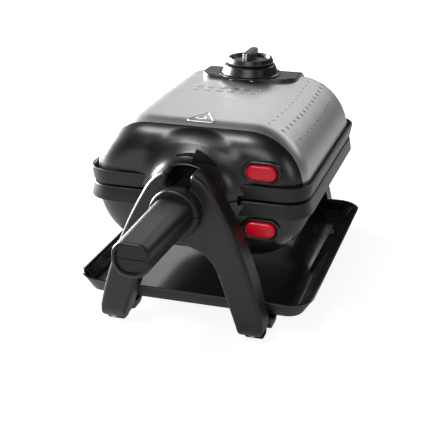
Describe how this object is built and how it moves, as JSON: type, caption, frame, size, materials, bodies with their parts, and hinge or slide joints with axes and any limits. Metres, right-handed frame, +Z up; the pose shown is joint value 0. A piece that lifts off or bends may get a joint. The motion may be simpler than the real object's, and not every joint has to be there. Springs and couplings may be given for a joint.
{
  "type": "rotating waffle maker",
  "caption": "Tabletop waffle maker whose closed body turns between two A-frame stands over a drip tray, with a hinged lid, split handle, release buttons and a dial.",
  "frame": {"origin": "under the middle of the object on the surface it stands on", "axes": "+Z up; the handle points to -Y; +X to the right seen from the handle"},
  "size_m": [0.186, 0.362, 0.1736],
  "materials": {
    "stand_plastic": "satin black moulded plastic",
    "casing_plastic": "satin black moulded plastic",
    "rim_plastic": "matt dark grey moulded plastic",
    "bezel_plastic": "satin black",
    "brushed_steel_cover": "fine satin stainless sheet",
    "handle_plastic": "satin black, fine grain",
    "web_plastic": "black glass-filled plastic",
    "bush_plastic": "grey bearing plastic",
    "rail_steel": "drawn steel",
    "foot_rubber": "matt black rubber",
    "tray_gloss": "gloss black plastic",
    "button_red": "red plastic",
    "latch_plastic": "natural heat-proof plastic",
    "cast_plate": "non-stick coating on a casting",
    "heater_sheath": "dull green-black sheath",
    "reflector_sheet": "pressed bright sheet",
    "fastener_steel": "zinc plated",
    "knob_plastic": "satin black",
    "mark_pale": "pale insert"
  },
  "bodies": {
    "base": {"front_stand": "stand_plastic", "front_stand_cover": "stand_plastic", "rear_stand": "stand_plastic", "rear_stand_cover": "stand_plastic", "base_rails": "rail_steel", "tray_rests": "stand_plastic", "foot_pads": "foot_rubber", "front_bush": "bush_plastic", "rear_bush": "bush_plastic", "rear_hub_cap": "stand_plastic", "cord_gland": "foot_rubber", "stand_screws": "fastener_steel"},
    "tray": {"drip_tray": "tray_gloss"},
    "lower_half": {"lower_casing": "casing_plastic", "lower_rim": "rim_plastic", "lower_plate": "cast_plate", "lower_heater": "heater_sheath", "lower_reflector": "reflector_sheet", "lower_bezel": "bezel_plastic", "lower_latch_pin": "rail_steel", "lower_latch_spring": "fastener_steel", "lower_clips": "reflector_sheet", "lower_handle": "handle_plastic", "front_journal": "web_plastic", "rear_trunnion": "web_plastic", "hinge_bracket": "casing_plastic", "hinge_pins": "rail_steel", "terminal_block": "latch_plastic", "casing_screws": "fastener_steel"},
    "lid": {"front_cap": "casing_plastic", "steel_cover": "brushed_steel_cover", "rear_cap": "casing_plastic", "upper_rim": "rim_plastic", "upper_plate": "cast_plate", "upper_heater": "heater_sheath", "upper_reflector": "reflector_sheet", "upper_handle": "handle_plastic", "handle_web": "web_plastic", "hinge_knuckles": "casing_plastic", "thermostat": "latch_plastic", "thermal_fuse": "reflector_sheet", "knob_skirt": "knob_plastic", "dial_marks": "mark_pale", "upper_bezel": "bezel_plastic", "upper_latch_pin": "rail_steel", "upper_latch_spring": "fastener_steel", "upper_clips": "reflector_sheet", "lid_screws": "fastener_steel"},
    "upper_release": {"upper_button": "button_red"},
    "upper_lever": {"upper_latch": "latch_plastic"},
    "lower_release": {"lower_button": "button_red"},
    "lower_lever": {"lower_latch": "latch_plastic"},
    "dial": {"thermostat_knob": "knob_plastic", "knob_pointer": "mark_pale", "knob_shaft": "rail_steel"}
  },
  "joints": [
    {"name": "body_turn", "type": "hinge", "parent": "base", "child": "lower_half", "pos_m": [0, 0, 0.0993], "axis": [0, 1, 0], "range_deg": [0, 180]},
    {"name": "lid_open", "type": "hinge", "parent": "lower_half", "child": "lid", "pos_m": [0, 0.149, 0.1253], "axis": [1, 0, 0], "range_deg": [-100, 0]},
    {"name": "tray_slide", "type": "slide", "parent": "base", "child": "tray", "axis": [1, 0, 0], "range_m": [0, 0.15]},
    {"name": "dial_turn", "type": "hinge", "parent": "lid", "child": "dial", "pos_m": [0, 0.1017, 0.1593], "axis": [0, 0, 1], "range_deg": [-135, 135]},
    {"name": "upper_press", "type": "slide", "parent": "lid", "child": "upper_release", "axis": [0, 1, 0], "range_m": [0, 0.003], "stiffness_N_per_m": 400, "springref_m": -0.002},
    {"name": "lower_press", "type": "slide", "parent": "lower_half", "child": "lower_release", "axis": [0, 1, 0], "range_m": [0, 0.003], "stiffness_N_per_m": 400, "springref_m": -0.002},
    {"name": "upper_tilt", "type": "hinge", "parent": "lid", "child": "upper_lever", "pos_m": [0.0517, -0.0482, 0.1123], "axis": [1, 0, 0], "range_deg": [-21.6, 0]},
    {"name": "lower_tilt", "type": "hinge", "parent": "lower_half", "child": "lower_lever", "pos_m": [0.0517, -0.0482, 0.0863], "axis": [1, 0, 0], "range_deg": [0, 21.6]}
  ],
  "couplings": [
    {"joint": "upper_tilt", "follows": "upper_press", "rad_per_m": -125},
    {"joint": "lower_tilt", "follows": "lower_press", "rad_per_m": 125}
  ]
}
